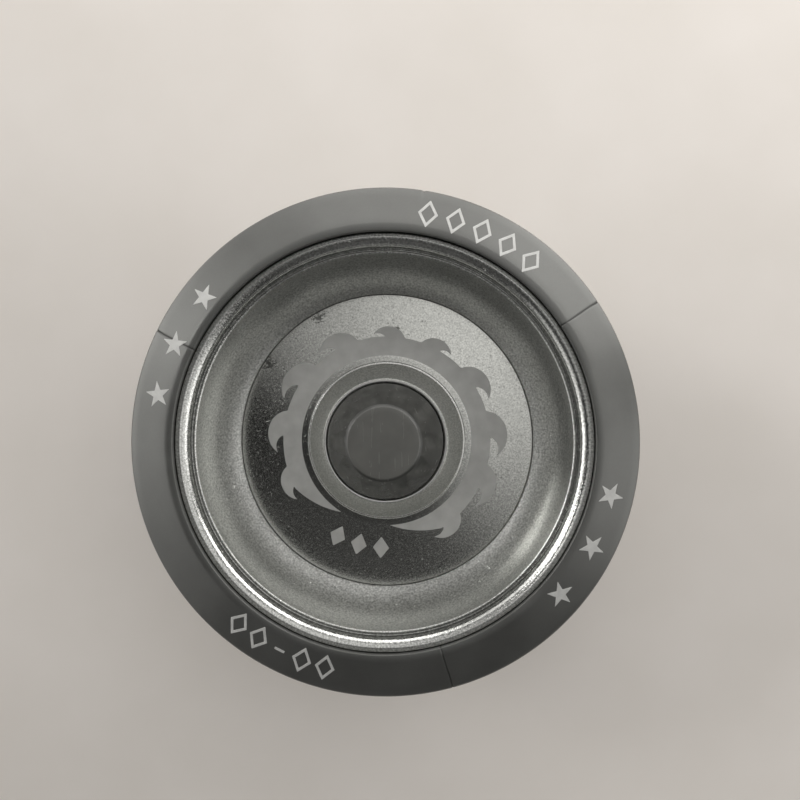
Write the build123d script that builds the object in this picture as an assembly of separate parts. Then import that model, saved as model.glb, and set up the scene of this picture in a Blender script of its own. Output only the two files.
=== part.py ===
from build123d import *
import math
import os

# A ball-bearing yo-yo that lies on its side. The axle is the Z axis and the origin is
# the middle of the string gap. Lengths are in millimetres and angles in degrees.
# Outlines are (radius, height) points of one half, measured from the middle of the
# gap. The upper half is made from them directly and the lower half is its mirror.

# Whole yo-yo
half_width = 21.0
rim_radius = 28.5
string_gap = 4.5
gap_half = string_gap / 2

# Body shell: rim, string wall and hub
rim_land_radius = 24.1
rim_mouth_radius = 23.4
rim_slope = 25.0
rim_corner = 0.4
land_corner = 0.15
rim_edge_height = 17.6
wall_top = (28.15, 17.0)
wall_radius = 28.0
wall_thickness = 2.6
hub_face_radius = 9.8
hub_radius = 6.2
hub_top = 15.0
cap_bore_radius = 5.0
cap_bore_floor = 10.9
shell_floor = 5.0
web_hole_radius = 2.3
nut_seat = 7.6
ring_play = 0.05
core_radius_top = 22.6
core_radius_bottom = 22.0
ring_step = 17.2
groove_floor = 19.0
seat_inner_radius = 15.9
seat_outer_radius = 17.3
seat_top = 9.6
rib_count = 6
rib_thickness = 1.2
weld_overlap = 0.5           # how far ribs and seat run into the wall that they stand on

# Weight ring
ring_radius = 22.95
ring_lip_foot = 19.2
ring_lip = (23.3, 19.95)
bead_outside = (22.8, 20.05)
bead_inside = (21.75, 19.19)
bead_arc_radius = 1.2
groove_outside = (21.68, 18.8)
groove_inside = (21.45, 18.75)
bowl_lip = (21.27, 19.2)
bowl_top = (21.1, 19.1)
bowl_bend = (20.04, 14.85)
bowl_foot = (17.12, 11.6)
bowl_wall_radius = 11.49
bowl_foot_radius = 7.47
ledge_inner_radius = 15.5
ledge_top = 10.6
ring_wall_foot_radius = 18.6

# Face plate
plate_radius = 17.05
plate_thickness = 0.9
plate_edge_height = ledge_top + plate_thickness
boss_foot = (8.95, 12.65)
boss_top = (7.15, 15.2)
boss_hole_radius = 6.8

# Hub cap
cap_top = 20.7
button_radius = 4.05
button_step = 0.3
skirt_top = cap_top - 0.45
skirt_top_radius = 4.35
skirt_radius = 6.6
skirt_foot = 15.6
cap_wall = 1.1
plug_depth = 3.0
flute_count = 10
flute_radius = 2.4
flute_depth = 0.4

# Axle and nuts
axle_radius = 2.0
axle_length = 22.0
axle_chamfer = 0.35
socket_flats = 2.0
socket_depth = 2.4
nut_flats = 7.0
nut_height = 3.2
nut_chamfer = 0.45
nut_chamfer_angle = 30.0
thread_clearance = 0.05

# Ball bearing
bearing_radius = 6.35
bearing_bore = 3.175
bearing_half = 2.381
ball_radius = 0.99
ball_count = 8
ball_circle = 4.76
race_groove_radius = 1.05
outer_race_inside = 5.35
inner_race_outside = 4.2
race_corner = 0.15
cage_inside = 4.47
cage_outside = 5.05
cage_back = 1.25
cage_front = 0.35
cage_play = 0.07
shield_inside = 4.45
shield_radius = 5.7
shield_face = 1.7
shield_thickness = 0.2
snap_ring_inside = 5.45
snap_ring_radius = 5.93
snap_ring_thickness = 0.25
snap_ring_gap = 40.0
seat_play = 0.02
cut_beyond = 1.0             # how far a cutter reaches past the face that it opens

# Bearing spacer and response pad
spacer_seat_radius = 3.15
spacer_radius = 4.1
spacer_end = 0.25
spacer_back = 6.0
bearing_clearance = 0.3
pad_inside = 7.15
pad_radius = 9.5
pad_thickness = 1.0


def turned(outline):
    """Solid of revolution about the axle from a closed (radius, height) outline."""
    return revolve(Plane.XZ * make_face(outline), axis=Axis.Z)


def turned_polygon(*points):
    """Solid of revolution from the corners of its outline."""
    return turned(Polyline(*points, close=True))


def ring(inside, outside, low, high):
    """Plain ring with square corners."""
    return turned_polygon((inside, low), (outside, low), (outside, high), (inside, high))


def wall_arc():
    """The curved string wall, from the hub face out to the rim."""
    return RadiusArc((hub_face_radius, gap_half), wall_top, -wall_radius)


def inner_wall_height(radius):
    """Height of the shell's inside, one wall thickness in from the string wall."""
    centre = wall_arc().arc_center
    reach = wall_radius - wall_thickness
    return centre.Y - math.sqrt(reach**2 - (radius - centre.X) ** 2)


def inner_wall_radius(height):
    """Radius at which the shell's inside reaches a height."""
    centre = wall_arc().arc_center
    reach = wall_radius - wall_thickness
    return centre.X + math.sqrt(reach**2 - (height - centre.Y) ** 2)


def rim_cone_foot():
    """Height at which the rim's conical face meets its outer edge."""
    return half_width - (rim_radius - rim_land_radius) * math.tan(math.radians(rim_slope))


def hexagon(flats, low, high):
    """Hexagonal prism on the axle, between two heights."""
    corner_radius = flats / math.sqrt(3)
    return Pos(0, 0, low) * extrude(RegularPolygon(corner_radius, 6), high - low)


def shell_outline():
    """Closed outline of the moulded shell: rim, string wall, pad groove and hub."""
    recess_radius = bearing_radius + bearing_clearance
    recess_height = bearing_half + bearing_clearance
    core_floor = inner_wall_height(core_radius_bottom)
    floor_start = inner_wall_radius(shell_floor)
    outside = Polyline(
        wall_top,
        (rim_radius, rim_edge_height),
        (rim_radius, rim_cone_foot()),
        (rim_land_radius, half_width),
        (rim_mouth_radius, half_width),
        (rim_mouth_radius, groove_floor),
        (ring_radius + ring_play, groove_floor),
        (ring_radius + ring_play, ring_step),
        (core_radius_top, ring_step),
        (core_radius_bottom, core_floor),
    )
    core_arc = RadiusArc(
        (core_radius_bottom, core_floor), (floor_start, shell_floor), wall_radius - wall_thickness
    )
    inside = Polyline(
        (floor_start, shell_floor),
        (hub_radius, shell_floor),
        (hub_radius, hub_top),
        (cap_bore_radius, hub_top),
        (cap_bore_radius, cap_bore_floor),
        (web_hole_radius, cap_bore_floor),
        (web_hole_radius, spacer_back),
        (spacer_radius, spacer_back),
        (spacer_radius, recess_height),
        (recess_radius, recess_height),
        (recess_radius, gap_half),
        (pad_inside, gap_half),
        (pad_inside, gap_half + pad_thickness),
        (pad_radius, gap_half + pad_thickness),
        (pad_radius, gap_half),
        (hub_face_radius, gap_half),
    )
    return make_face(outside + core_arc + inside + wall_arc())


def corners_at(face, *places):
    """The outline's vertices at the given (radius, height) places."""
    return [min(face.vertices(), key=lambda v: math.dist((v.X, v.Y), place)) for place in places]


def shell_ribs():
    """Radial ribs and the round seat that carry the weight ring, below its ledge."""
    rib_start = hub_radius - weld_overlap
    rib_end = seat_inner_radius + weld_overlap
    floor_start = inner_wall_radius(shell_floor)
    outline = Polyline(
        (rib_start, shell_floor - weld_overlap),
        (floor_start, shell_floor - weld_overlap),
        (rib_end, inner_wall_height(rib_end) - weld_overlap),
        (rib_end, seat_top),
        (rib_start, seat_top),
        close=True,
    )
    rib = extrude(Plane.XZ * make_face(outline), rib_thickness / 2, both=True)
    seat_floor = inner_wall_height(seat_inner_radius) - weld_overlap
    seat = ring(seat_inner_radius, seat_outer_radius, seat_floor, seat_top)
    return [seat] + [Rot(0, 0, turn * 360 / rib_count) * rib for turn in range(rib_count)]


def body_shell():
    """Moulded plastic half: conical rim, curved string wall, ribs and hub with nut pocket."""
    face = shell_outline()
    face = fillet(corners_at(face, (rim_radius, rim_cone_foot())), rim_corner)
    land_edges = corners_at(face, (rim_land_radius, half_width), (rim_mouth_radius, half_width))
    face = fillet(land_edges, land_corner)
    shell = revolve(Plane.XZ * face, axis=Axis.Z)
    for piece in shell_ribs():
        shell += piece
    return shell - hexagon(nut_flats, nut_seat, cap_bore_floor + cut_beyond)


def weight_ring():
    """Cast metal bowl: broad bead that faces inwards, groove, curved wall and ledge for the plate."""
    bead = RadiusArc(bead_outside, bead_inside, -bead_arc_radius)
    groove = Polyline(bead_inside, groove_outside, groove_inside, bowl_lip, bowl_top)
    wall = RadiusArc(bowl_top, bowl_bend, bowl_wall_radius)
    wall_foot = RadiusArc(bowl_bend, bowl_foot, bowl_foot_radius)
    rest = Polyline(
        bowl_foot,
        (bowl_foot[0], ledge_top),
        (ledge_inner_radius, ledge_top),
        (ledge_inner_radius, seat_top),
        (ring_wall_foot_radius, seat_top),
        (core_radius_top, ring_step),
        (ring_radius, ring_step),
        (ring_radius, ring_lip_foot),
        (ring_lip[0], ring_lip_foot),
        ring_lip,
        bead_outside,
    )
    return turned(bead + groove + wall + wall_foot + rest)


def face_plate():
    """Pressed metal plate: a shallow cone that steepens into a round boss with a hole."""
    top_side = Polyline(
        (plate_radius, plate_edge_height), boss_foot, boss_top, (boss_hole_radius, boss_top[1])
    )
    section = offset(top_side, plate_thickness, kind=Kind.INTERSECTION, side=Side.LEFT, closed=True)
    return turned(section)


def hub_cap():
    """Plastic knob: flat round top, fluted conical skirt, and a hollow plug below."""
    plug_foot = hub_top - plug_depth
    plug_inside = cap_bore_radius - cap_wall
    cap = turned_polygon(
        (0, cap_top),
        (button_radius, cap_top),
        (button_radius, cap_top - button_step),
        (skirt_top_radius, skirt_top),
        (skirt_radius, skirt_foot),
        (skirt_radius, hub_top),
        (cap_bore_radius, hub_top),
        (cap_bore_radius, plug_foot),
        (plug_inside, plug_foot),
        (plug_inside, skirt_foot),
        (skirt_top_radius - cap_wall, cap_top - 2 * cap_wall),
        (0, cap_top - 2 * cap_wall),
    )
    button_edge = cap.edges().filter_by(GeomType.CIRCLE).sort_by(Axis.Z)[-1]
    cap = fillet(button_edge, button_step / 2)
    for flute in skirt_flutes():
        cap -= flute
    return cap


def skirt_flutes():
    """Round cutters laid along the skirt: each flute is deepest at the top and fades out below."""
    flute_head_radius = skirt_top_radius - flute_depth
    rise = skirt_top - skirt_foot
    run = skirt_radius - flute_head_radius
    lean = math.atan2(run, rise)
    middle = Pos(
        (skirt_radius + flute_head_radius) / 2 + flute_radius * math.cos(lean),
        0,
        (skirt_top + skirt_foot) / 2 + flute_radius * math.sin(lean),
    )
    cutter = middle * Rot(0, -math.degrees(lean), 0) * Cylinder(flute_radius, math.hypot(run, rise))
    return [Rot(0, 0, turn * 360 / flute_count) * cutter for turn in range(flute_count)]


def axle_nut(bore_radius):
    """Hexagon nut with chamfered corners, in the pocket of the hub."""
    corner_radius = nut_flats / math.sqrt(3)
    low = nut_seat
    high = nut_seat + nut_height
    drop = nut_chamfer * math.tan(math.radians(nut_chamfer_angle))
    envelope = turned_polygon(
        (bore_radius, low),
        (corner_radius - nut_chamfer, low),
        (corner_radius, low + drop),
        (corner_radius, high - drop),
        (corner_radius - nut_chamfer, high),
        (bore_radius, high),
    )
    return hexagon(nut_flats, low, high) & envelope


def bearing_spacer():
    """Turned metal spacer: the bearing's inner race sits on its nose."""
    bore = axle_radius + thread_clearance
    return turned_polygon(
        (bore, spacer_end),
        (spacer_seat_radius, spacer_end),
        (spacer_seat_radius, bearing_half),
        (spacer_radius, bearing_half),
        (spacer_radius, spacer_back),
        (bore, spacer_back),
    )


def response_pad():
    """Soft flat ring in the groove of the hub face."""
    return ring(pad_inside, pad_radius, gap_half, gap_half + pad_thickness)


def axle():
    """Set screw with a hexagon socket in its upper end."""
    screw = Cylinder(axle_radius, axle_length)
    screw = chamfer(screw.edges().filter_by(GeomType.CIRCLE), axle_chamfer)
    return screw - hexagon(socket_flats, axle_length / 2 - socket_depth, axle_length / 2 + cut_beyond)


def race_groove():
    """Ring-shaped ball track that is cut into both races."""
    return Torus(ball_circle, race_groove_radius)


def bearing_outer_race():
    """Outer race with a ball track, shield seats and snap-ring grooves."""
    groove_low = shield_face + shield_thickness
    groove_high = groove_low + snap_ring_thickness
    race = turned_polygon(
        (outer_race_inside, -bearing_half),
        (bearing_radius - race_corner, -bearing_half),
        (bearing_radius, race_corner - bearing_half),
        (bearing_radius, bearing_half - race_corner),
        (bearing_radius - race_corner, bearing_half),
        (outer_race_inside, bearing_half),
    )
    cut_start = outer_race_inside - cut_beyond
    seat = ring(cut_start, shield_radius + seat_play, shield_face, bearing_half + cut_beyond)
    groove = ring(cut_start, snap_ring_radius + seat_play, groove_low, groove_high)
    race = race - seat - groove
    race = race - mirror(seat, about=Plane.XY) - mirror(groove, about=Plane.XY)
    return race - race_groove()


def bearing_inner_race():
    """Inner race with a ball track."""
    return ring(bearing_bore, inner_race_outside, -bearing_half, bearing_half) - race_groove()


def around_ball_circle(piece):
    """Copies of a piece at every ball's place."""
    return [Rot(0, 0, turn * 360 / ball_count) * Pos(ball_circle, 0, 0) * piece for turn in range(ball_count)]


def bearing_balls():
    """The set of bearing balls, as separate solids."""
    return Compound(children=around_ball_circle(Sphere(ball_radius)))


def ball_cage():
    """Crown cage: a ring with a round pocket for each ball, open on its upper side."""
    cage = ring(cage_inside, cage_outside, -cage_back, cage_front)
    for pocket in around_ball_circle(Sphere(ball_radius + cage_play)):
        cage -= pocket
    return cage


def bearing_shield():
    """Thin cover ring that keeps dirt out of the balls."""
    return ring(shield_inside, shield_radius, shield_face, shield_face + shield_thickness)


def snap_ring():
    """Open spring ring that holds the shield in its groove."""
    low = shield_face + shield_thickness
    face = make_face(
        Polyline(
            (snap_ring_inside, low),
            (snap_ring_radius, low),
            (snap_ring_radius, low + snap_ring_thickness),
            (snap_ring_inside, low + snap_ring_thickness),
            close=True,
        )
    )
    return revolve(Plane.XZ * face, axis=Axis.Z, revolution_arc=360 - snap_ring_gap)


def both_halves():
    """Every piece that each half has, by name, in its upper and its mirrored lower place."""
    same_pieces = {
        "body_shell": body_shell(),
        "weight_ring": weight_ring(),
        "face_plate": face_plate(),
        "hub_cap": hub_cap(),
        "bearing_spacer": bearing_spacer(),
        "response_pad": response_pad(),
        "bearing_shield": bearing_shield(),
        "snap_ring": snap_ring(),
    }
    pieces = {}
    for name, piece in same_pieces.items():
        pieces["upper_" + name] = piece
        pieces["lower_" + name] = mirror(piece, about=Plane.XY)
    return pieces


def all_pieces():
    """Every node of the yo-yo by name."""
    pieces = both_halves()
    pieces["upper_axle_nut"] = axle_nut(axle_radius + thread_clearance)
    pieces["lower_axle_nut"] = mirror(axle_nut(axle_radius), about=Plane.XY)
    pieces["axle"] = axle()
    pieces["bearing_outer_race"] = bearing_outer_race()
    pieces["bearing_inner_race"] = bearing_inner_race()
    pieces["bearing_balls"] = bearing_balls()
    pieces["ball_cage"] = ball_cage()
    return pieces


os.makedirs("parts", exist_ok=True)
for name, piece in all_pieces().items():
    export_step(piece, f"parts/{name}.step")
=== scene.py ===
import math

import bmesh
import bpy
import numpy as np
from mathutils import Matrix, Vector


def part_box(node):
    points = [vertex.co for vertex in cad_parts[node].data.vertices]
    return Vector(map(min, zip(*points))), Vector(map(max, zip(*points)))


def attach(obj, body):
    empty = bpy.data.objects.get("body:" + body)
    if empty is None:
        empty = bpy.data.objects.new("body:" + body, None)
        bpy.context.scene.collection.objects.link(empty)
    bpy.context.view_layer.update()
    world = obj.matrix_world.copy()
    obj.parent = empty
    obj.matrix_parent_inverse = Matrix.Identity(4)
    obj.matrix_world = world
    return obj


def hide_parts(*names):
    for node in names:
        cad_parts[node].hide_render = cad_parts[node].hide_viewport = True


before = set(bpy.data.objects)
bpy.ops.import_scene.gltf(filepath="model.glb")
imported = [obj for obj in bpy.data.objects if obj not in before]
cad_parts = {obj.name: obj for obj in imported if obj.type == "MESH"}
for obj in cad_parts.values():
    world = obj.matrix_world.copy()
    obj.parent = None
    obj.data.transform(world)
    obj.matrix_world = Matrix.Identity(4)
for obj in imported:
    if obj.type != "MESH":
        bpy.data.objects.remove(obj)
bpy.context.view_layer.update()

# A ball-bearing yo-yo that lies on its side, with its axle along Z. Lengths are in
# millimetres and angles in degrees, until a mesh, lamp or camera is made. Outlines are
# (radius, height) corners of the upper half, and the lower half is the upper one
# turned over.
MM = 0.001


def size_of(node):
    """Lowest and highest corner of a CAD node, in millimetres."""
    low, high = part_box(node)
    return low / MM, high / MM


shell_low, shell_high = size_of("upper_body_shell")
ring_low, ring_high = size_of("upper_weight_ring")
plate_low, plate_high = size_of("upper_face_plate")
cap_low, cap_high = size_of("upper_hub_cap")
pad_low, pad_high = size_of("upper_response_pad")
axle_low, axle_high = size_of("axle")

# Body shell
half_width = shell_high.z
rim_radius = -shell_low.x
gap_half = shell_low.z
rim_land_radius = 24.1
rim_mouth_radius = 23.4
rim_slope = 25.0
rim_corner = 0.4
rim_edge_height = 17.6
wall_top = (28.15, 17.0)
wall_start = (9.8, gap_half)
wall_radius = 28.0
wall_thickness = 2.6
core_top = (22.6, 17.2)
core_foot_radius = 22.0
shell_floor = 5.0
groove_floor = 19.0
hub_radius = 6.2
hub_top = 15.0
cap_bore_radius = 5.0
pocket_top = 10.9
nut_seat = 7.6
nut_flats = 7.0
web_hole_radius = 2.3
spacer_back = 6.0
spacer_radius = 4.1
recess_radius = 6.65
recess_height = 2.681
seat_inside = 15.9
seat_outside = 17.3
rib_count = 6
rib_thickness = 1.2
rib_overlap = 0.5
weld_angles = (33.4, 153.8, 285.7)
weld_depth = 0.06
weld_half_angle = 0.3
weld_reach_angle = 1.4
weld_bottom = rim_edge_height - 6.0
seam_fade_angle = 0.24
seam_run = 3.0
nick_angle = 81.0
nick_height = rim_edge_height + 1.3
nick_depth = 0.1

# Weight ring
ring_radius = 22.95
lip_foot = 19.2
lip_outside = (23.3, 19.95)
bead_outside = (22.8, ring_high.z)
bead_inside = (21.75, 19.19)
bead_arc_radius = 1.2
groove_outside = (21.68, 18.8)
groove_inside = (21.45, 18.75)
bowl_lip = (21.27, 19.2)
bowl_top = (21.1, 19.1)
bowl_bend = (20.04, 14.85)
bowl_foot = (17.12, 11.6)
bowl_wall_radius = 11.49
bowl_foot_radius = 7.47
ledge_inside = 15.5
ledge_top = 10.6
ring_wall_foot = 18.6

# Face plate
plate_radius = -plate_low.x
plate_thickness = 0.9
plate_edge = ledge_top + plate_thickness
boss_foot = (8.95, 12.65)
boss_top = (7.15, plate_high.z)
boss_lip = 0.12
boss_hole_radius = 6.8

# Hub cap
button_radius = 4.05
button_step = 0.3
skirt_top = cap_high.z - 1.5 * button_step
skirt_top_radius = 4.35
skirt_foot = 15.6
cap_wall = 1.1
flute_count = 10
flute_cutter_radius = 2.4
flute_depth = 0.4

# Response pad
pad_radius = -pad_low.x
pad_inside = 7.15
pad_play = 0.03
pad_lift = 0.04

# Axle
thread_pitch = 0.7
thread_depth = 0.38
thread_columns = 64
axle_chamfer = 0.35
socket_flats = 2.0
socket_depth = 2.4
socket_chamfer = 0.1
socket_point = 0.4

# Prints
film_thickness = 0.03
film_top = 0.6 * film_thickness
print_radius = 25.7
star_size = 1.55
star_angles = (141.0, 154.8, 168.0, 319.5, 333.5, 347.0)
mark_radius = 25.8
mark_half_height = 1.35
mark_half_width = 0.95
mark_stroke = 0.3
mark_angles = (51.0, 58.0, 65.0, 72.0, 79.0, 231.3, 237.3, 249.3, 255.3)
bar_angle = 243.3
bar_half_length = 0.6
flame_axis = 75.0
flame_inside = 9.9
flame_outside = 12.1
flame_end = 163.0
flame_taper = 30.0
flame_arc_radius = 12.5
tongue_count = 5
tongue_start = 14.0
tongue_step = 29.0
tongue_radius = 3.1
tongue_foot = 11.0
tongue_inside = 10.4
hook_radius = 1.62
hook_aside = 1.75
hook_above = 0.45
plate_mark_radius = 12.6
plate_mark_step = 12.0
plate_mark_half_height = 1.3

# Wear: radius, angle and reach of each cluster of pits in the plate
pit_spots = ((16.5, 119, 1.1), (16.6, 147, 1.3), (13.1, 85, 0.5))
# Radius of the groove beside the bead, darkened with painted shade
shaded_groove_radius = 21.52

# Stage
camera_place = (6.47, 5.97, 166.0)
camera_aim = (1.85, 4.76, half_width)
camera_lens = 59.3
table_half = 12000.0
lamp_tilt = 72.0
lamp_distance = 240.0
lamp_size = 180.0

# Name, azimuth and watts of each near lamp
near_lamps = (("window_lamp", 45, 0.3), ("door_lamp", 92, 0.19), ("desk_lamp", 140, 0.09))

# Azimuth, tilt from straight up, reach and brightness of each soft patch of light
room_lights = (
    (0, 27, 30, 0.36),
    (45, 25, 30, 0.32),
    (95, 27, 32, 0.45),
    (250, 28, 32, 0.05),
    (350, 54, 34, 0.6),
    (90, 54, 34, 0.15),
    (145, 54, 32, 0.06),
    (154, 45, 9, 6.5),
    (350, 76, 28, 1.2),
    (155, 74, 20, 1.4),
    (172, 76, 28, 1.3),
    (200, 66, 28, 0.7),
    (180, 80, 14, 1.0),
    (270, 68, 45, 0.08),
)


# ---------------------------------------------------------------- outlines

def arc(start, end, radius, steps=24):
    """Points along an arc that bulges to the left of its way, or to the right if radius < 0."""
    a, b = np.array(start, float), np.array(end, float)
    chord = b - a
    half = np.linalg.norm(chord) / 2
    left = np.array([-chord[1], chord[0]]) / (2 * half)
    centre = (a + b) / 2 - math.copysign(1, radius) * left * math.sqrt(radius**2 - half**2)
    first = math.atan2(a[1] - centre[1], a[0] - centre[0])
    last = math.atan2(b[1] - centre[1], b[0] - centre[0])
    turn = (last - first + math.pi) % (2 * math.pi) - math.pi
    angles = first + turn * np.linspace(0, 1, steps + 1)
    return [tuple(centre + abs(radius) * np.array([math.cos(t), math.sin(t)])) for t in angles]


def string_wall_centre():
    """Middle of the circle that the string wall follows."""
    start, end = np.array(wall_start), np.array(wall_top)
    chord = end - start
    half = np.linalg.norm(chord) / 2
    left = np.array([-chord[1], chord[0]]) / (2 * half)
    return (start + end) / 2 + left * math.sqrt(wall_radius**2 - half**2)


def inner_wall_height(radius):
    """Height of the shell's inside at a radius, one wall thickness in from the string wall."""
    centre = string_wall_centre()
    reach = wall_radius - wall_thickness
    return centre[1] - math.sqrt(reach**2 - (radius - centre[0]) ** 2)


def inner_wall_radius(height):
    """Radius at which the shell's inside reaches a height."""
    centre = string_wall_centre()
    reach = wall_radius - wall_thickness
    return centre[0] + math.sqrt(reach**2 - (height - centre[1]) ** 2)


def rounded(corners, edge, closed=True, steps=3, sharpest=15.0):
    """The outline with every sharp corner rounded: by its own third number, or else by edge."""
    points = []
    count = len(corners)
    for i, corner in enumerate(corners):
        here = np.array(corner[:2], float)
        before = np.array(corners[i - 1][:2], float) - here
        after = np.array(corners[(i + 1) % count][:2], float) - here
        lengths = np.linalg.norm(before), np.linalg.norm(after)
        at_end = not closed and i in (0, count - 1)
        cosine = -before @ after / (lengths[0] * lengths[1])
        turn = math.acos(max(-1.0, min(1.0, cosine)))
        if at_end or math.degrees(turn) < sharpest:
            points.append(tuple(here))
            continue
        radius = corner[2] if len(corner) > 2 else edge
        cut = min(radius * math.tan(turn / 2), 0.45 * min(lengths))
        start, end = here + before / lengths[0] * cut, here + after / lengths[1] * cut
        points += [
            tuple((1 - t) ** 2 * start + 2 * t * (1 - t) * here + t**2 * end)
            for t in np.linspace(0, 1, steps + 1)
        ]
    return points


def divided(points, longest, closed=True):
    """The outline with its long runs cut into shorter ones."""
    result = []
    pairs = zip(points, points[1:] + points[:1] if closed else points[1:])
    for start, end in pairs:
        parts = max(1, math.ceil(math.dist(start, end) / longest))
        for part in range(parts):
            share = part / parts
            result.append(tuple(a + (b - a) * share for a, b in zip(start, end)))
    return result if closed else result + [points[-1]]


def thickened(top_side, thickness):
    """Closed outline of a sheet whose upper side is an open path that runs inwards."""
    points = [np.array(p, float) for p in top_side]
    normals = []
    for a, b in zip(points, points[1:]):
        along = (b - a) / np.linalg.norm(b - a)
        normals.append(np.array([-along[1], along[0]]))
    under = []
    for i, point in enumerate(points):
        first, last = normals[max(0, i - 1)], normals[min(i, len(normals) - 1)]
        under.append(tuple(point + (first + last) * thickness / (1 + first @ last)))
    return [tuple(p) for p in points] + under[::-1]


def cone_height(radius):
    """Height of the rim's upper face: flat on the land, then falling outwards."""
    return half_width - np.maximum(radius - rim_land_radius, 0) * math.tan(math.radians(rim_slope))


def plate_height(radius):
    """Height of the face plate's upper side outside its boss."""
    share = (plate_radius - radius) / (plate_radius - boss_foot[0])
    return plate_edge + share * (boss_foot[1] - plate_edge)


# ---------------------------------------------------------------- meshes

def new_object(name, vertices, faces, smooth_angle=40.0):
    """Object from vertices in millimetres. Edges sharper than smooth_angle are shaded as edges."""
    mesh = bpy.data.meshes.new(name)
    mesh.from_pydata([tuple(v) for v in np.asarray(vertices) * MM], [], faces)
    work = bmesh.new()
    work.from_mesh(mesh)
    bmesh.ops.recalc_face_normals(work, faces=work.faces)
    work.to_mesh(mesh)
    work.free()
    mesh.shade_smooth()
    mesh.set_sharp_from_angle(angle=math.radians(smooth_angle))
    piece = bpy.data.objects.new(name, mesh)
    bpy.context.scene.collection.objects.link(piece)
    return piece


def even_angles(count):
    return np.arange(count) * 360.0 / count


def lathe(name, outline, angles, shape=None, closed=True):
    """Outline turned about the axle. shape(radius, height, angle) may move the points of the grid."""
    radius, height = np.array(outline).T
    grid_radius, angle = np.meshgrid(radius, angles, indexing="ij")
    grid_height = np.repeat(height[:, None], len(angles), axis=1)
    if shape:
        grid_radius, grid_height, angle = shape(grid_radius, grid_height, angle)
    turn = np.radians(angle)
    points = np.stack([grid_radius * np.cos(turn), grid_radius * np.sin(turn), grid_height], axis=-1)
    vertices, rows = [], []
    for row, line in zip(radius, points):
        start = len(vertices)
        on_axis = row < 1e-6
        vertices += [line[0]] if on_axis else list(line)
        rows.append([start + (0 if on_axis else i) for i in range(len(angles))])
    pairs = zip(rows, rows[1:] + rows[:1] if closed else rows[1:])
    faces = []
    for low, high in pairs:
        for i in range(len(angles)):
            j = (i + 1) % len(angles)
            faces.append(list(dict.fromkeys((low[i], low[j], high[j], high[i]))))
    return new_object(name, vertices, faces)


def joined(first, *others):
    """The first object with the other objects' meshes added to it."""
    work = bmesh.new()
    for piece in (first, *others):
        work.from_mesh(piece.data)
    work.to_mesh(first.data)
    work.free()
    for piece in others:
        bpy.data.objects.remove(piece)
    return first


def turned_over(upper, name):
    """Copy of an upper piece, turned half a turn about the X axis into its lower place."""
    lower = upper.copy()
    lower.name = name
    lower.data = upper.data.copy()
    lower.data.transform(Matrix.Rotation(math.pi, 4, "X"))
    bpy.context.scene.collection.objects.link(lower)
    return lower


def on_both_halves(upper, name, material, node=None):
    """Names, paints and mounts an upper piece and its lower twin."""
    upper.name = "upper_" + name
    upper.data.materials.append(material)
    for side, piece in (("upper", upper), ("lower", turned_over(upper, "lower_" + name))):
        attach(piece, side + "_half")
        if node:
            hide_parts(f"{side}_{node}")


# ---------------------------------------------------------------- materials

def surface(name, colour, metallic, roughness, **others):
    """Material whose shader has these values all over."""
    material = bpy.data.materials.new(name)
    material.use_nodes = True
    shader = material.node_tree.nodes["Principled BSDF"]
    shader.inputs["Base Color"].default_value = (*colour, 1)
    shader.inputs["Metallic"].default_value = metallic
    shader.inputs["Roughness"].default_value = roughness
    for socket, value in others.items():
        shader.inputs[socket.replace("_", " ")].default_value = value
    return material


def add(tree, kind, inputs=None, **settings):
    """New shader node. inputs holds values or sockets by input name or number."""
    node = tree.nodes.new("ShaderNode" + kind)
    for setting, value in settings.items():
        setattr(node, setting, value)
    for socket, value in (inputs or {}).items():
        if isinstance(value, bpy.types.NodeSocket):
            tree.links.new(value, node.inputs[socket])
        else:
            node.inputs[socket].default_value = value
    return node


def place(tree):
    """The point on the piece, in metres."""
    return add(tree, "TexCoord").outputs["Object"]


def noise(tree, size, detail=2.0, stretch=(1, 1, 1)):
    """Noise whose spots are about size millimetres wide."""
    point = add(tree, "VectorMath", {0: place(tree), 1: stretch}, operation="MULTIPLY").outputs[0]
    return add(tree, "TexNoise", {"Vector": point, "Scale": 1 / (size * MM), "Detail": detail}).outputs["Fac"]


def spread(tree, value, low, high, to_low=0.0, to_high=1.0, smooth=False):
    """Value mapped from one range to another, and held there."""
    kind = "SMOOTHSTEP" if smooth else "LINEAR"
    ends = {"Value": value, "From Min": low, "From Max": high, "To Min": to_low, "To Max": to_high}
    return add(tree, "MapRange", ends, interpolation_type=kind).outputs[0]


def calculate(tree, operation, a, b=0.0):
    return add(tree, "Math", {0: a, 1: b}, operation=operation).outputs[0]


def times(tree, a, b):
    return calculate(tree, "MULTIPLY", a, b)


def plus(tree, first, *others):
    total = first
    for value in others:
        total = calculate(tree, "ADD", total, value)
    return total


def blended(tree, share, first, second):
    """Colour between two colours, each given as three numbers or as a socket."""
    ends = [end if isinstance(end, bpy.types.NodeSocket) else (*end, 1) for end in (first, second)]
    return add(tree, "Mix", {0: share, 6: ends[0], 7: ends[1]}, data_type="RGBA").outputs[2]


def radial_distance(tree):
    """Distance from the axle, in metres."""
    flat = add(tree, "VectorMath", {0: place(tree), 1: (1, 1, 0)}, operation="MULTIPLY").outputs[0]
    return add(tree, "VectorMath", {0: flat}, operation="LENGTH").outputs["Value"]


def near_spot(tree, radius, angle, reach):
    """1 at a place on the upper or lower face, falling to 0 at reach millimetres from it."""
    turn = math.radians(angle)
    spot = (radius * MM * math.cos(turn), radius * MM * math.sin(turn), 0)
    flat = add(tree, "VectorMath", {0: place(tree), 1: (1, 1, 0)}, operation="MULTIPLY").outputs[0]
    away = add(tree, "VectorMath", {0: flat, 1: spot}, operation="DISTANCE").outputs["Value"]
    return spread(tree, away, 0, reach * MM, 1, 0)


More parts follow.
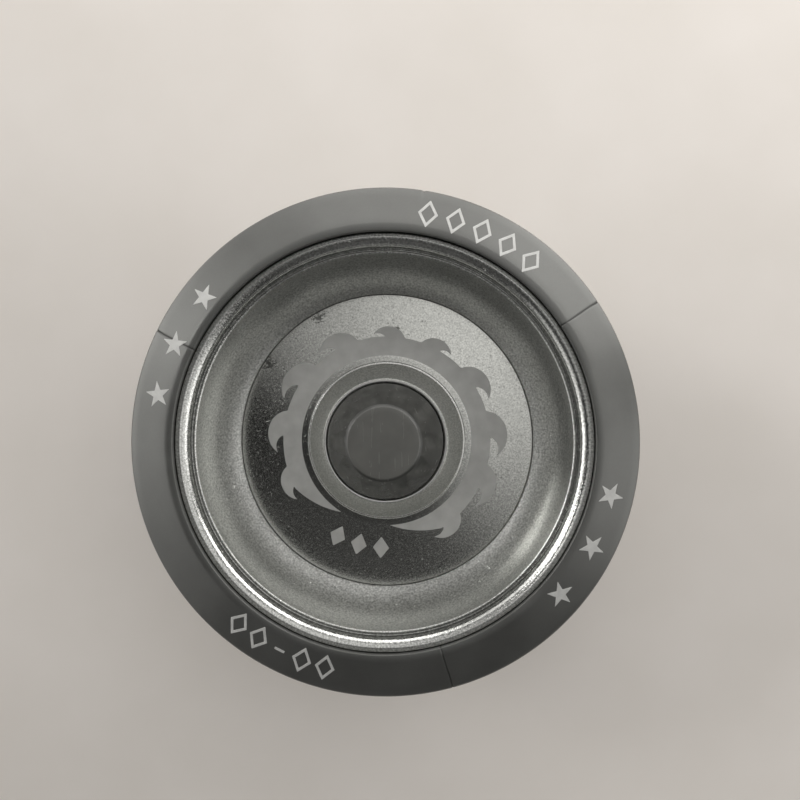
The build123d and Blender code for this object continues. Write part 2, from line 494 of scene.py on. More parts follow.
def near_circle(tree, radius, core, reach, smooth=False):
    """1 within core millimetres of a circle round the axle, falling to 0 at reach millimetres from it."""
    beyond = calculate(tree, "SUBTRACT", radial_distance(tree), radius * MM)
    away = calculate(tree, "ABSOLUTE", beyond)
    return spread(tree, away, core * MM, reach * MM, 1, 0, smooth)


def set_bump(material, height, distance, strength=1.0):
    tree = material.node_tree
    bump = add(tree, "Bump", {"Height": height, "Distance": distance * MM, "Strength": strength})
    tree.links.new(bump.outputs["Normal"], tree.nodes["Principled BSDF"].inputs["Normal"])


def link(material, value, socket):
    tree = material.node_tree
    tree.links.new(value, tree.nodes["Principled BSDF"].inputs[socket])


def shell_plastic():
    """Grey moulded plastic with metal flakes: cloudy, and dark along the weld lines."""
    material = surface("shell_plastic", (0.2, 0.2, 0.19), 0.6, 0.36, Coat_Weight=0.25, Coat_Roughness=0.2)
    tree = material.node_tree
    flakes = spread(tree, noise(tree, 0.09, 1), 0.35, 0.65)
    clouds = spread(tree, noise(tree, 5.0, 3), 0.3, 0.7)
    weld = add(tree, "Attribute", attribute_name="weld").outputs["Fac"]
    tone = plus(tree, times(tree, flakes, 0.35), times(tree, clouds, 0.65))
    grey = blended(tree, tone, (0.133, 0.134, 0.128), (0.166, 0.168, 0.161))
    link(material, blended(tree, weld, grey, (0.035, 0.035, 0.033)), "Base Color")
    link(material, spread(tree, clouds, 0, 1, 0.33, 0.41), "Roughness")
    set_bump(material, flakes, 0.004, 0.35)
    return material


def cast_metal():
    """Plated cast metal: satin, with a fine grain, scattered pits and painted shade in its groove."""
    material = surface("cast_metal", (0.6, 0.6, 0.56), 1.0, 0.26)
    tree = material.node_tree
    grain = noise(tree, 0.22, 3)
    tone = blended(tree, spread(tree, grain, 0.3, 0.7), (0.46, 0.465, 0.45), (0.92, 0.925, 0.9))
    # Painted shade: the groove beside the bead is darkened
    groove_shade = times(tree, near_circle(tree, shaded_groove_radius, 0.08, 0.3, smooth=True), 0.4)
    link(material, blended(tree, groove_shade, tone, (0.08, 0.08, 0.075)), "Base Color")
    across = radial_distance(tree)
    in_bowl = spread(tree, across, bowl_lip[0] * MM, bowl_top[0] * MM)
    on_shoulder = spread(tree, across, (bead_outside[0] - 0.2) * MM, bead_outside[0] * MM)
    satin = times(tree, plus(tree, in_bowl, on_shoulder), 0.12)
    link(material, plus(tree, satin, spread(tree, grain, 0.25, 0.75, 0.16, 0.26)), "Roughness")
    waves = noise(tree, 1.6, 2)
    pits = spread(tree, noise(tree, 0.5, 1), 0.2, 0.27)
    height = plus(tree, times(tree, grain, 0.6), times(tree, waves, 0.9), times(tree, pits, 0.8))
    turned = times(tree, times(tree, rings_round_axle(tree, 0.09), on_shoulder), 2.0)
    set_bump(material, plus(tree, height, turned), 0.045, 0.7)
    return material


def rings_round_axle(tree, width):
    """Fine turning marks of about this width in millimetres, round the axle."""
    across = add(tree, "CombineXYZ", {"X": radial_distance(tree)}).outputs[0]
    return add(tree, "TexNoise", {"Vector": across, "Scale": 1 / (width * MM), "Detail": 1.0}).outputs["Fac"]


def painted_edge_highlights(tree):
    """Painted highlights: bright lines along the plate's turned edges, round the boss's foot and its hole."""
    foot = near_circle(tree, boss_foot[0] + boss_lip / 2, 0.042, 0.14)
    hole = near_circle(tree, boss_hole_radius + 0.1, 0.042, 0.14)
    return calculate(tree, "MAXIMUM", foot, hole)


def plate_pits(tree):
    """1 in the pits of each cluster, 0 elsewhere."""
    clusters = plus(tree, *[near_spot(tree, *spot) for spot in pit_spots])
    holes = calculate(tree, "SUBTRACT", times(tree, clusters, 0.4), noise(tree, 0.3, 2))
    return spread(tree, holes, -0.35, -0.2)


def blasted_plate():
    """Pressed plate with a blasted, speckled face, a few clusters of pits near its edge, painted shade round
    the boss's foot and painted highlights on its turned edges.
    """
    material = surface("blasted_plate", (0.6, 0.6, 0.55), 1.0, 0.26)
    tree = material.node_tree
    speckle = noise(tree, 0.19, 3)
    pits = plate_pits(tree)
    across = radial_distance(tree)
    tone = blended(tree, spread(tree, speckle, 0.3, 0.7), (0.45, 0.455, 0.435), (0.85, 0.855, 0.82))
    # Painted shade: the bare plate round the boss's foot is darker
    boss_foot_shade = spread(tree, across, (flame_inside - 0.3) * MM, flame_inside * MM, 0.3, 0.0)
    pits_and_boss_shade = blended(tree, calculate(tree, "MAXIMUM", pits, boss_foot_shade), tone, (0.2, 0.2, 0.19))
    # Painted highlight: near-white lines on the turned edges round the boss's foot and its hole
    link(material, blended(tree, painted_edge_highlights(tree), pits_and_boss_shade, (0.98, 0.98, 0.96)), "Base Color")
    on_boss = spread(tree, across, (boss_foot[0] - 0.2) * MM, boss_foot[0] * MM, 1.0, 0.0)
    satin = times(tree, on_boss, 0.24)
    link(material, plus(tree, satin, spread(tree, speckle, 0.25, 0.75, 0.16, 0.26)), "Roughness")
    height = plus(tree, times(tree, speckle, 0.7), times(tree, noise(tree, 1.2, 2), 0.3))
    set_bump(material, calculate(tree, "SUBTRACT", height, times(tree, pits, 2.0)), 0.016, 0.5)
    return material


def flute_wave(tree):
    """1 in the middle of each flute of the hub cap, 0 on the ridges between them."""
    point = add(tree, "SeparateXYZ", {0: place(tree)}).outputs
    turn = calculate(tree, "ARCTAN2", point["Y"], point["X"])
    wave = calculate(tree, "COSINE", times(tree, turn, flute_count))
    return spread(tree, wave, -0.2, 0.7, smooth=True)


def cap_plastic():
    """Glossy black plastic: faint haze and hairline scratches, with painted light that makes the button's top
    and the middles of the flutes lighter.
    """
    material = surface("cap_plastic", (0.075, 0.075, 0.07), 0.0, 0.25, Specular_IOR_Level=0.6)
    tree = material.node_tree
    haze = spread(tree, noise(tree, 1.8, 3), 0.3, 0.7)
    across = radial_distance(tree)
    # Painted light: the button's flat top is lighter
    button_painted_light = spread(tree, across, button_radius * MM, (button_radius + 0.1) * MM, 0.75, 0.0)
    on_skirt = spread(tree, across, 4.3 * MM, 4.8 * MM, 0.0, 0.45)
    # Painted light: the middle of each flute on the skirt is lighter
    flute_painted_light = times(tree, times(tree, flute_wave(tree), on_skirt), haze)
    # Random haze plus the painted light of the button and the flutes
    dust_and_painted_light = plus(tree, button_painted_light, times(tree, haze, 0.25), flute_painted_light)
    link(material, blended(tree, dust_and_painted_light, (0.05, 0.05, 0.047), (0.13, 0.13, 0.122)), "Base Color")
    scratches = spread(tree, noise(tree, 0.5, 2, (1, 0.06, 1)), 0.55, 0.75)
    satin = spread(tree, haze, 0, 1, 0.16, 0.24)
    link(material, plus(tree, satin, times(tree, scratches, 0.1)), "Roughness")
    set_bump(material, noise(tree, 0.9, 2), 0.01, 0.4)
    return material


def print_ink(name, colour, spots):
    """Matte screen-printing ink, slightly uneven."""
    material = surface(name, colour, 0.0, 0.55)
    tree = material.node_tree
    uneven = spread(tree, noise(tree, spots, 3), 0.3, 0.7)
    low = tuple(c * 0.9 for c in colour)
    high = tuple(min(1.0, c * 1.08) for c in colour)
    link(material, blended(tree, uneven, low, high), "Base Color")
    set_bump(material, noise(tree, 0.12, 2), 0.006, 0.5)
    return material


def pad_silicone():
    """Off-white silicone, slightly see-through, with dust on its face."""
    soft = {"Subsurface_Weight": 0.15, "Subsurface_Scale": 1 * MM}
    material = surface("pad_silicone", (0.72, 0.71, 0.66), 0.0, 0.55, **soft)
    tree = material.node_tree
    dust_and_painted_light = spread(tree, noise(tree, 0.4, 4), 0.45, 0.7)
    link(material, blended(tree, dust_and_painted_light, (0.72, 0.71, 0.67), (0.55, 0.54, 0.5)), "Base Color")
    set_bump(material, noise(tree, 0.2, 2), 0.02, 0.4)
    return material


def turned_metal(name, colour, roughness, groove=0.12, depth=0.006):
    """Machined metal: fine turning marks round the axle and faint smudges."""
    material = surface(name, colour, 1.0, roughness)
    tree = material.node_tree
    across = radial_distance(tree)
    height_on_axle = add(tree, "SeparateXYZ", {0: place(tree)}).outputs["Z"]
    lines = add(tree, "CombineXYZ", {"X": across, "Y": height_on_axle}).outputs[0]
    marks = add(tree, "TexNoise", {"Vector": lines, "Scale": 1 / (groove * MM), "Detail": 2.0}).outputs["Fac"]
    smudges = spread(tree, noise(tree, 1.5, 3), 0.3, 0.7)
    low = tuple(c * 0.88 for c in colour)
    link(material, blended(tree, smudges, low, colour), "Base Color")
    link(material, spread(tree, smudges, 0, 1, roughness * 0.8, roughness * 1.25), "Roughness")
    set_bump(material, marks, depth, 0.5)
    return material


def floor_paint():
    """Pale, faintly mottled table top."""
    material = surface("pale_table", (0.78, 0.76, 0.72), 0.0, 0.5, Specular_IOR_Level=0.3)
    tree = material.node_tree
    mottle = spread(tree, noise(tree, 18.0, 3), 0.3, 0.7)
    link(material, blended(tree, mottle, (0.85, 0.8, 0.75), (0.89, 0.84, 0.795)), "Base Color")
    return material


# ---------------------------------------------------------------- body shell

def shell_corners():
    """Corners of the moulded shell, with the rounding of those that need more than the rest."""
    cone_foot = half_width - (rim_radius - rim_land_radius) * math.tan(math.radians(rim_slope))
    core_floor = inner_wall_height(core_foot_radius)
    floor_start = (inner_wall_radius(shell_floor), shell_floor)
    pocket = nut_flats / 2
    return [
        *arc(wall_start, wall_top, -wall_radius, 40),
        (rim_radius, rim_edge_height, 0.3),
        (rim_radius, cone_foot, rim_corner),
        (rim_land_radius, half_width, 1.6),
        (rim_mouth_radius, half_width, 0.12),
        (rim_mouth_radius, groove_floor),
        (ring_radius + 0.05, groove_floor),
        (ring_radius + 0.05, core_top[1]),
        core_top,
        *arc((core_foot_radius, core_floor), floor_start, wall_radius - wall_thickness, 20),
        (hub_radius, shell_floor, 0.4),
        (hub_radius, hub_top),
        (cap_bore_radius, hub_top),
        (cap_bore_radius, pocket_top),
        (pocket, pocket_top),
        (pocket, nut_seat),
        (web_hole_radius, nut_seat),
        (web_hole_radius, spacer_back),
        (spacer_radius, spacer_back),
        (spacer_radius, recess_height),
        (recess_radius, recess_height),
        (recess_radius, gap_half, 0.15),
        (pad_inside, gap_half),
        (pad_inside, pad_high.z),
        (pad_radius, pad_high.z),
        (pad_radius, gap_half),
    ]


def shell_angles():
    """Even steps round the shell, closer together at the weld lines and the nick."""
    fine = np.array([0.15, 0.3, 0.55, 0.9, weld_reach_angle])
    places = [*weld_angles, nick_angle]
    even = [a for a in even_angles(360) if all(abs(a - p) > weld_reach_angle + 0.4 for p in places)]
    beside = np.concatenate([-fine, [0.0], fine])
    return np.sort(np.concatenate([even, *[p + beside for p in places]]))


def beside_weld(angle):
    """Distance in degrees to the nearest weld line."""
    return np.min([np.abs(angle - weld) for weld in weld_angles], axis=0)


def nut_pocket(radius, height, angle):
    """Radius of the points, with the round pocket opened out to the hexagon of the nut."""
    fold = np.radians((angle + 30) % 60 - 30)
    in_pocket = (height > nut_seat - 0.2) & (height < pocket_top + 0.2)
    on_flats = in_pocket & (np.abs(radius - nut_flats / 2) < 0.2)
    return np.where(on_flats, radius / np.cos(fold), radius)


def weld_lines(radius, height, angle):
    """Weld lines in the rim and the top of the string wall: slightly sunk, and wandering."""
    aside = beside_weld(angle)
    outside = (radius > rim_mouth_radius - 0.2) & (height > weld_bottom)
    dip = weld_depth * np.clip(1 - aside / weld_half_angle, 0, 1) * outside
    height = height - dip * (radius < rim_radius - 0.1)
    radius = radius - dip * (radius > rim_radius - 0.6)
    wander = 0.06 * np.sin(radius * 1.7) + 0.03 * np.sin(radius * 5.3)
    return radius, height, angle + wander * np.clip(1 - aside / weld_reach_angle, 0, 1) * outside


def rim_nick(radius, height, angle):
    """Small dent in the rim's outer edge."""
    along = np.radians(angle - nick_angle) * rim_radius
    above = height - nick_height
    nick = nick_depth * np.exp(-(along**2) / 0.03 - above**2 / 0.2) * (radius > rim_radius - 1.0)
    return radius - nick, height - nick * 0.6, angle


def shell_shape(radius, height, angle):
    """Everything on the shell that isn't round: the nut's pocket, the weld lines and the nick."""
    radius = nut_pocket(radius, height, angle)
    return rim_nick(*weld_lines(radius, height, angle))


def mark_welds(piece, outline, angles):
    """Stores how strongly each point shows the weld line's dark seam."""
    seam = np.clip((weld_half_angle - beside_weld(angles)) / seam_fade_angle, 0, 1)
    radius, height = np.array(outline).T
    outwards = np.clip((radius - rim_mouth_radius + 0.5) / 0.3, 0, 1)
    upwards = np.clip((height - wall_top[1] + seam_run) / seam_run, 0, 1)
    attribute = piece.data.attributes.new("weld", "FLOAT", "POINT")
    attribute.data.foreach_set("value", np.outer(outwards * upwards, seam).astype(np.float32).ravel())


def rib(turn):
    """One radial rib, whose foot follows the shell's inside."""
    start, end = hub_radius - rib_overlap, seat_inside + rib_overlap
    floor_end = inner_wall_radius(shell_floor)
    foot = arc((floor_end, shell_floor), (end, inner_wall_height(end)), -(wall_radius - wall_thickness), 8)
    outline = [(start, shell_floor), *foot]
    low = [(r, z - rib_overlap) for r, z in outline]
    side = low + [(end, ring_low.z), (start, ring_low.z)]
    vertices = [(r, y, z) for y in (-rib_thickness / 2, rib_thickness / 2) for r, z in side]
    count = len(side)
    faces = [list(range(count)), list(range(count, 2 * count))]
    faces += [[i, (i + 1) % count, (i + 1) % count + count, i + count] for i in range(count)]
    spin = np.array(Matrix.Rotation(math.radians(turn), 3, "Z"))
    return new_object("rib", np.array(vertices) @ spin.T, faces)


def make_shells():
    outline = divided(rounded(shell_corners(), edge=0.08), longest=1.0)
    angles = shell_angles()
    shell = lathe("shell", outline, angles, shell_shape)
    mark_welds(shell, outline, angles)
    foot = inner_wall_height(seat_inside) - rib_overlap
    seat = [(seat_inside, foot), (seat_outside, foot), (seat_outside, ring_low.z), (seat_inside, ring_low.z)]
    seat_ring = lathe("seat", rounded(seat, edge=0.08), even_angles(120))
    ribs = [rib(turn * 360 / rib_count) for turn in range(rib_count)]
    whole = joined(shell, seat_ring, *ribs)
    on_both_halves(whole, "shell_moulding", shell_plastic(), "body_shell")


# ---------------------------------------------------------------- weight ring, plate, cap, pad

def make_weight_rings():
    corners = [
        *arc(bead_outside, bead_inside, -bead_arc_radius, 20),
        (*groove_outside, 0.1),
        (*groove_inside, 0.1),
        (*bowl_lip, 0.06),
        *arc(bowl_top, bowl_bend, bowl_wall_radius, 10)[:-1],
        *arc(bowl_bend, bowl_foot, bowl_foot_radius, 14),
        (bowl_foot[0], ledge_top),
        (ledge_inside, ledge_top),
        (ledge_inside, ring_low.z),
        (ring_wall_foot, ring_low.z, 0.3),
        core_top,
        (ring_radius, core_top[1]),
        (ring_radius, lip_foot),
        (lip_outside[0], lip_foot),
        (*lip_outside, 0.12),
    ]
    ring = lathe("ring", divided(rounded(corners, edge=0.05), longest=0.9), even_angles(360))
    on_both_halves(ring, "weight_ring_casting", cast_metal(), "weight_ring")


def make_face_plates():
    top_side = [(plate_radius, plate_edge), boss_foot, boss_top, (boss_hole_radius, boss_top[1])]
    bends = [0.08, 0.1, 0.25, 0.14, 0.05, 0.3, 0.6, 0.05]
    corners = [(*point, bend) for point, bend in zip(thickened(top_side, plate_thickness), bends)]
    corners[1:2] = [
        (boss_foot[0] + 2 * boss_lip, plate_height(boss_foot[0] + 2 * boss_lip), 0.06),
        (boss_foot[0] + boss_lip, boss_foot[1] + boss_lip, 0.1),
        (boss_foot[0], boss_foot[1] + boss_lip, 0.06),
    ]
    outline = divided(rounded(corners, edge=0.05, steps=5), longest=0.9)
    plate = lathe("plate", outline, even_angles(360))
    on_both_halves(plate, "face_plate_pressing", blasted_plate(), "face_plate")


def fluted(radius, height, angle):
    """Shallow round flutes in the skirt, deepest at its top."""
    depth = flute_depth * np.clip((height - skirt_foot) / (skirt_top - skirt_foot), 0, 1)
    on_skirt = (height <= skirt_top + 0.01) & (height >= skirt_foot) & (radius > button_radius + 0.1)
    step = 360 / flute_count
    aside = np.radians((angle + step / 2) % step - step / 2) * radius
    cut = np.clip(depth - aside**2 / (2 * flute_cutter_radius), 0, None) * on_skirt
    return radius - cut, height, angle


def make_hub_caps():
    skirt_radius = -cap_low.x
    plug_inside = cap_bore_radius - cap_wall
    inside_top = cap_high.z - 2 * cap_wall
    corners = [
        (0, cap_high.z),
        (button_radius, cap_high.z, 0.14),
        (button_radius, cap_high.z - button_step, 0.05),
        (skirt_top_radius, skirt_top, 0.1),
        (skirt_radius, skirt_foot, 0.2),
        (skirt_radius, hub_top),
        (cap_bore_radius, hub_top),
        (cap_bore_radius, cap_low.z, 0.2),
        (plug_inside, cap_low.z),
        (plug_inside, skirt_foot),
        (skirt_top_radius - cap_wall, inside_top),
        (0, inside_top),
    ]
    smooth = rounded(corners, edge=0.05, closed=False, steps=4)
    outline = divided(smooth, longest=0.5, closed=False)
    cap = lathe("cap", outline, even_angles(flute_count * 28), fluted, closed=False)
    on_both_halves(cap, "hub_cap_moulding", cap_plastic(), "hub_cap")


def make_response_pads():
    inside, outside = pad_inside + pad_play, pad_radius - pad_play
    low, high = pad_low.z + pad_lift, pad_high.z - pad_play
    corners = [(inside, low, 0.2), (outside, low, 0.2), (outside, high), (inside, high)]
    pad = lathe("pad", divided(rounded(corners, edge=0.08), longest=0.6), even_angles(180))
    on_both_halves(pad, "response_pad_ring", pad_silicone(), "response_pad")


# ---------------------------------------------------------------- prints

def beside(radius, angle, centre_radius, centre_angle):
    """Flat coordinates round a place on the face: outwards, and sideways."""
    turn = np.radians(angle - centre_angle)
    return radius * np.cos(turn) - centre_radius, radius * np.sin(turn)


def star(centre_radius, centre_angle, size):
    """Five-point star with one point outwards. As every field here, it is negative where there is ink."""
    notch_reach = size * math.sin(math.radians(18)) / math.sin(math.radians(126))
    notch = notch_reach * math.cos(math.pi / 5), notch_reach * math.sin(math.pi / 5)
    edge = notch[0] - size, notch[1]

    def field(radius, angle):
        x, y = beside(radius, angle, centre_radius, centre_angle)
        fifth = 2 * math.pi / 5
        turn = np.abs((np.arctan2(y, x) + fifth / 2) % fifth - fifth / 2)
        reach = np.hypot(x, y)
        along, across = reach * np.cos(turn) - size, reach * np.sin(turn)
        return (edge[1] * along - edge[0] * across) / math.hypot(*edge)

    return field


def diamond(centre_radius, centre_angle, half_height, half_width, stroke=None):
    """Filled diamond, or only its outline if it has a stroke."""

    def field(radius, angle):
        x, y = beside(radius, angle, centre_radius, centre_angle)
        steepness = math.hypot(1 / half_height, 1 / half_width)
        away = (np.abs(x) / half_height + np.abs(y) / half_width - 1) / steepness
        return away if stroke is None else np.abs(away) - stroke / 2

    return field


def bar(centre_radius, centre_angle, half_height, half_length):
    """Short bar that lies along the rim."""

    def field(radius, angle):
        x, y = beside(radius, angle, centre_radius, centre_angle)
        return np.maximum(np.abs(x) - half_height, np.abs(y) - half_length)

    return field


def tongue_size(number):
    """Share of the full size that a tongue of flame has. It differs from tongue to tongue."""
    return 0.72 + 0.28 * math.sin(math.radians(number * 40 + 5))


def flames(radius, angle):
    """Ring of flames: a band round the boss with hooked tongues that sweep down both sides."""
    down = np.abs((angle - flame_axis + 180) % 360 - 180)
    tail = np.clip((flame_end - down) / flame_taper, 0, 1)
    outside = flame_inside + (flame_outside - flame_inside) * tail
    ink = np.maximum(flame_inside - radius, radius - outside)
    for number in range(tongue_count):
        scale = tongue_size(number)
        along = np.radians(down - tongue_start - tongue_step * number) * flame_arc_radius
        up = radius - tongue_foot
        tongue = np.hypot(along, up) - tongue_radius * scale
        hook = np.hypot(along - hook_aside * scale, up - hook_above * scale) - hook_radius * scale
        ink = np.minimum(ink, np.maximum(np.maximum(tongue, -hook), tongue_inside - radius))
    return ink


def inked(field, low, high, start, end, cell):
    """Points and faces of the part of a polar patch where the field is negative."""
    rows = np.linspace(low, high, math.ceil((high - low) / cell) + 1)
    columns = np.linspace(start, end, math.ceil(math.radians(end - start) * high / cell) + 1)
    value = field(*np.meshgrid(rows, columns, indexing="ij"))
    inside = value < 0
    numbers, points, faces = {}, [], []

    def number(key, radius, angle):
        if key not in numbers:
            numbers[key] = len(points)
            points.append((radius, angle))
        return numbers[key]

    some = inside[:-1, :-1] | inside[1:, :-1] | inside[:-1, 1:] | inside[1:, 1:]
    for i, j in zip(*np.nonzero(some)):
        loop = [(i, j), (i, j + 1), (i + 1, j + 1), (i + 1, j)]
        face = []
        for a, b in zip(loop, loop[1:] + loop[:1]):
            if inside[a]:
                face.append(number(a, rows[a[0]], columns[a[1]]))
            if inside[a] != inside[b]:
                first, last = sorted((a, b))
                share = value[first] / (value[first] - value[last])
                radius = rows[first[0]] + share * (rows[last[0]] - rows[first[0]])
                angle = columns[first[1]] + share * (columns[last[1]] - columns[first[1]])
                face.append(number((first, last), radius, angle))
        faces.append(face)
    return points, faces


def ink_film(name, patches, height, cell):
    """Thin film of ink that lies on a surface whose height depends on the radius."""
    vertices, faces = [], []
    for patch in patches:
        points, patch_faces = inked(*patch, cell)
        start = len(vertices)
        for radius, angle in points:
            turn = math.radians(angle)
            top = height(radius) + film_top
            vertices.append((radius * math.cos(turn), radius * math.sin(turn), top))
        faces += [[start + i for i in face] for face in patch_faces]
    film = new_object(name, vertices, faces)
    if film.data.polygons[0].normal.z < 0:
        film.data.flip_normals()
    sheet = film.modifiers.new("thickness", "SOLIDIFY")
    sheet.thickness = film_thickness * MM
    sheet.offset = -1
    return film


def around(field, centre_radius, centre_angle, reach):
    """Patch of the face that holds one mark."""
    width = math.degrees(reach / centre_radius)
    return field, centre_radius - reach, centre_radius + reach, centre_angle - width, centre_angle + width


def make_rim_prints():
    """Stars, and two rows of plain outlined diamonds, one with a bar in its middle, on the rim."""
    patches = []
    for angle in star_angles:
        shape = star(print_radius, angle, star_size)
        patches.append(around(shape, print_radius, angle, reach=star_size + 0.2))
    for angle in mark_angles:
        shape = diamond(mark_radius, angle, mark_half_height, mark_half_width, mark_stroke)
        patches.append(around(shape, mark_radius, angle, reach=mark_half_height + 0.4))
    dash = bar(mark_radius, bar_angle, mark_stroke / 2, bar_half_length)
    patches.append(around(dash, mark_radius, bar_angle, reach=bar_half_length + 0.4))
    film = ink_film("rim_print", patches, cone_height, cell=0.06)
    on_both_halves(film, "rim_print", print_ink("rim_ink", (0.63, 0.63, 0.615), spots=0.8))


def make_plate_prints():
    """Ring of flames and three filled diamonds on the face plate."""
    patches = [(flames, flame_inside - 0.2, 15.0, flame_axis - 180, flame_axis + 180)]
    for step in (-1, 0, 1):
        angle = flame_axis + 180 + plate_mark_step * step
        shape = diamond(plate_mark_radius, angle, plate_mark_half_height, mark_half_width)
        patches.append(around(shape, plate_mark_radius, angle, reach=plate_mark_half_height + 0.3))
    film = ink_film("plate_print", patches, plate_height, cell=0.12)
    on_both_halves(film, "plate_print", print_ink("plate_ink", (0.5, 0.5, 0.485), spots=1.5))


# ---------------------------------------------------------------- axle

def thread_profile():
    """One turn of the thread: (share of the pitch, radius)."""
    crest = axle_high.x
    root = crest - thread_depth
    blunt = 0.03
    return [
        (0.0, root),
        (0.12, root),
        (0.2, root + blunt),
        (0.44, crest - blunt),
        (0.5, crest),
        (0.62, crest),
        (0.68, crest - blunt),
        (0.92, root + blunt),
    ]


def thread_vertices(turns):
    """Rows of the thread's profile, each wound once round the axle and cut off at the axle's ends."""
    vertices = []
    spins = np.arange(thread_columns) / thread_columns
    for turn in range(turns):
        for share, radius in thread_profile():
            for spin in spins:
                height = axle_low.z + thread_pitch * (turn - 1 + share + spin)
                height = min(max(height, axle_low.z), axle_high.z)
                from_end = min(height - axle_low.z, axle_high.z - height)
                reach = min(radius, axle_high.x - axle_chamfer + from_end)
                angle = spin * 2 * math.pi
                vertices.append((reach * math.cos(angle), reach * math.sin(angle), height))
    return vertices


def thread_faces(turns):
    """Faces between the rows. The last column joins the first one of a full turn higher."""
    per_turn = len(thread_profile())
    rows = turns * per_turn
    faces = []
    for row in range(rows - 1):
        for column in range(thread_columns):
            step = (column + 1) % thread_columns
            beyond = row + (0 if step else per_turn)
            if beyond + 1 < rows:
                corners = ((row, column), (beyond, step), (beyond + 1, step), (row + 1, column))
                faces.append([r * thread_columns + c for r, c in corners])
    return faces


def end_disc(vertices, height, socket=False):
    """Faces that close one end of the axle, flat or with a hexagon socket. It adds their vertices."""
    turn = np.arange(thread_columns) * 2 * math.pi / thread_columns
    fold = (turn + math.pi / 6) % (math.pi / 3) - math.pi / 6
    hexagon = socket_flats / 2 / np.cos(fold)
    loops = [(np.full(thread_columns, axle_high.x - axle_chamfer), height)]
    floor = height
    if socket:
        loops.append((hexagon + socket_chamfer, height))
        loops.append((hexagon, height - socket_chamfer))
        loops.append((hexagon, height - socket_depth))
        floor = height - socket_depth - socket_point
    starts = []
    for radius, level in loops:
        starts.append(len(vertices))
        vertices += [(r * math.cos(t), r * math.sin(t), level) for r, t in zip(radius, turn)]
    centre = len(vertices)
    vertices.append((0, 0, floor))
    faces = []
    for column in range(thread_columns):
        step = (column + 1) % thread_columns
        for a, b in zip(starts, starts[1:]):
            faces.append([a + column, a + step, b + step, b + column])
        faces.append([starts[-1] + column, starts[-1] + step, centre])
    return faces


def sewn(piece, smooth_angle):
    """The piece with its doubled points joined and its empty faces gone."""
    work = bmesh.new()
    work.from_mesh(piece.data)
    bmesh.ops.remove_doubles(work, verts=work.verts, dist=1e-7)
    bmesh.ops.dissolve_degenerate(work, edges=work.edges, dist=1e-7)
    bmesh.ops.recalc_face_normals(work, faces=work.faces)
    work.to_mesh(piece.data)
    work.free()
    piece.data.shade_smooth()
    piece.data.set_sharp_from_angle(angle=math.radians(smooth_angle))
    return piece


def make_axle():
    """Set screw with a real helical thread, chamfered ends and a hexagon socket."""
    turns = math.ceil((axle_high.z - axle_low.z) / thread_pitch) + 2
    vertices = thread_vertices(turns)
    faces = thread_faces(turns)
    faces += end_disc(vertices, axle_low.z)
    faces += end_disc(vertices, axle_high.z, socket=True)
    axle = sewn(new_object("threaded_axle", vertices, faces), smooth_angle=30.0)
    axle.data.materials.append(turned_metal("axle_steel", (0.3, 0.3, 0.31), 0.32))
    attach(axle, "lower_half")
    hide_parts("axle")


# ---------------------------------------------------------------- CAD pieces that stay

def paint_cad_pieces():
    """Materials of the small machined pieces, whose CAD shapes are kept."""
    nut = turned_metal("nut_steel", (0.55, 0.55, 0.56), 0.3)
    spacer = turned_metal("spacer_brass", (0.72, 0.56, 0.3), 0.28)
    race = turned_metal("race_steel", (0.78, 0.78, 0.79), 0.12, depth=0.002)
    shield = turned_metal("shield_steel", (0.66, 0.66, 0.67), 0.25)
    spring = turned_metal("spring_steel", (0.45, 0.45, 0.46), 0.3)
    cage = turned_metal("cage_brass", (0.75, 0.6, 0.33), 0.3)
    paints = {
        "axle_nut": nut,
        "bearing_spacer": spacer,
        "bearing_shield": shield,
        "snap_ring": spring,
        "bearing_outer_race": race,
        "bearing_inner_race": race,
        "bearing_balls": race,
        "ball_cage": cage,
    }
    for name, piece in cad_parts.items():
        plain = name.removeprefix("upper_").removeprefix("lower_")
        if plain in paints:
            for material_slot in piece.material_slots:
                material_slot.material = paints[plain]


# ---------------------------------------------------------------- stage

def direction(azimuth, tilt):
    """Unit vector at an azimuth from +X and a tilt from straight up."""
    a, t = math.radians(azimuth), math.radians(tilt)
    return Vector((math.sin(t) * math.cos(a), math.sin(t) * math.sin(a), math.cos(t)))


def make_floor():
    reach = table_half * MM
    corners = [(-reach, -reach), (reach, -reach), (reach, reach), (-reach, reach)]
    mesh = bpy.data.meshes.new("table")
    mesh.from_pydata([(x, y, -half_width * MM) for x, y in corners], [], [[0, 1, 2, 3]])
    mesh.materials.append(floor_paint())
    table = bpy.data.objects.new("table", mesh)
    bpy.context.scene.collection.objects.link(table)


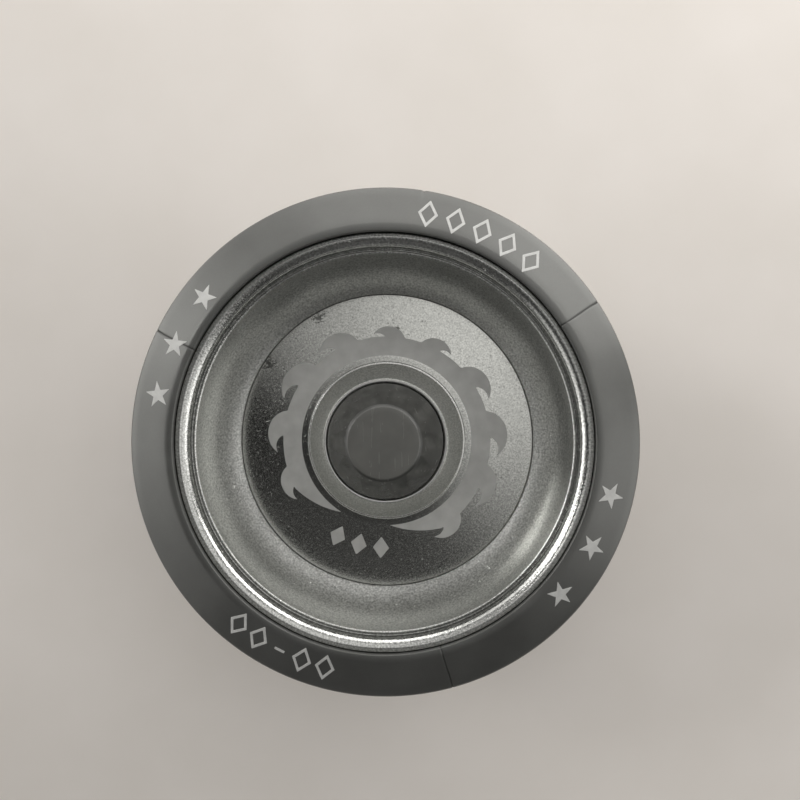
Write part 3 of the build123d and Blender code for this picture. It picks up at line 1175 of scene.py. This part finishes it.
def make_world():
    """Soft room light: a pale wall at the horizon, windows and ceiling, dark where a viewer leans over."""
    world = bpy.data.worlds.new("room")
    world.use_nodes = True
    bpy.context.scene.world = world
    tree = world.node_tree
    towards = add(tree, "TexCoord").outputs["Generated"]
    upwards = add(tree, "SeparateXYZ", {0: towards}).outputs["Z"]
    strength = spread(tree, upwards, 0.04, 0.18, 0.4, 0.0, smooth=True)
    for azimuth, tilt, reach, brightness in room_lights:
        dot = add(tree, "VectorMath", {0: towards, 1: direction(azimuth, tilt)}, operation="DOT_PRODUCT")
        edge = math.cos(math.radians(reach))
        patch = spread(tree, dot.outputs["Value"], edge, 1.0, 0.0, brightness, smooth=True)
        strength = plus(tree, strength, patch)
    background = tree.nodes["Background"]
    background.inputs["Color"].default_value = (1.0, 0.99, 0.965, 1)
    tree.links.new(strength, background.inputs["Strength"])


def make_lamp(name, azimuth, watts):
    """Square soft lamp that faces the middle of the yo-yo."""
    data = bpy.data.lights.new(name, "AREA")
    data.shape = "SQUARE"
    data.size = lamp_size * MM
    data.energy = watts
    data.color = (1.0, 0.985, 0.96)
    lamp = bpy.data.objects.new(name, data)
    away = direction(azimuth, lamp_tilt)
    lamp.location = away * lamp_distance * MM
    lamp.rotation_euler = away.to_track_quat("Z", "Y").to_euler()
    bpy.context.scene.collection.objects.link(lamp)


def make_camera():
    """Camera almost straight above the upper face, with +Y up in its picture."""
    eye = Vector(camera_place) * MM
    data = bpy.data.cameras.new("camera")
    data.lens = camera_lens
    data.sensor_width = 36.0
    data.clip_start = 0.01
    camera = bpy.data.objects.new("camera", data)
    back = (eye - Vector(camera_aim) * MM).normalized()
    right = Vector((0, 1, 0)).cross(back).normalized()
    up = back.cross(right)
    turn = Matrix((right, up, back)).transposed().to_4x4()
    camera.matrix_world = Matrix.Translation(eye) @ turn
    bpy.context.scene.collection.objects.link(camera)
    bpy.context.scene.camera = camera


make_camera()
make_floor()
make_world()
for near_lamp in near_lamps:
    make_lamp(*near_lamp)
bpy.context.scene.view_settings.view_transform = "Standard"

make_shells()
make_weight_rings()
make_face_plates()
make_hub_caps()
make_response_pads()
make_rim_prints()
make_plate_prints()
make_axle()
paint_cad_pieces()
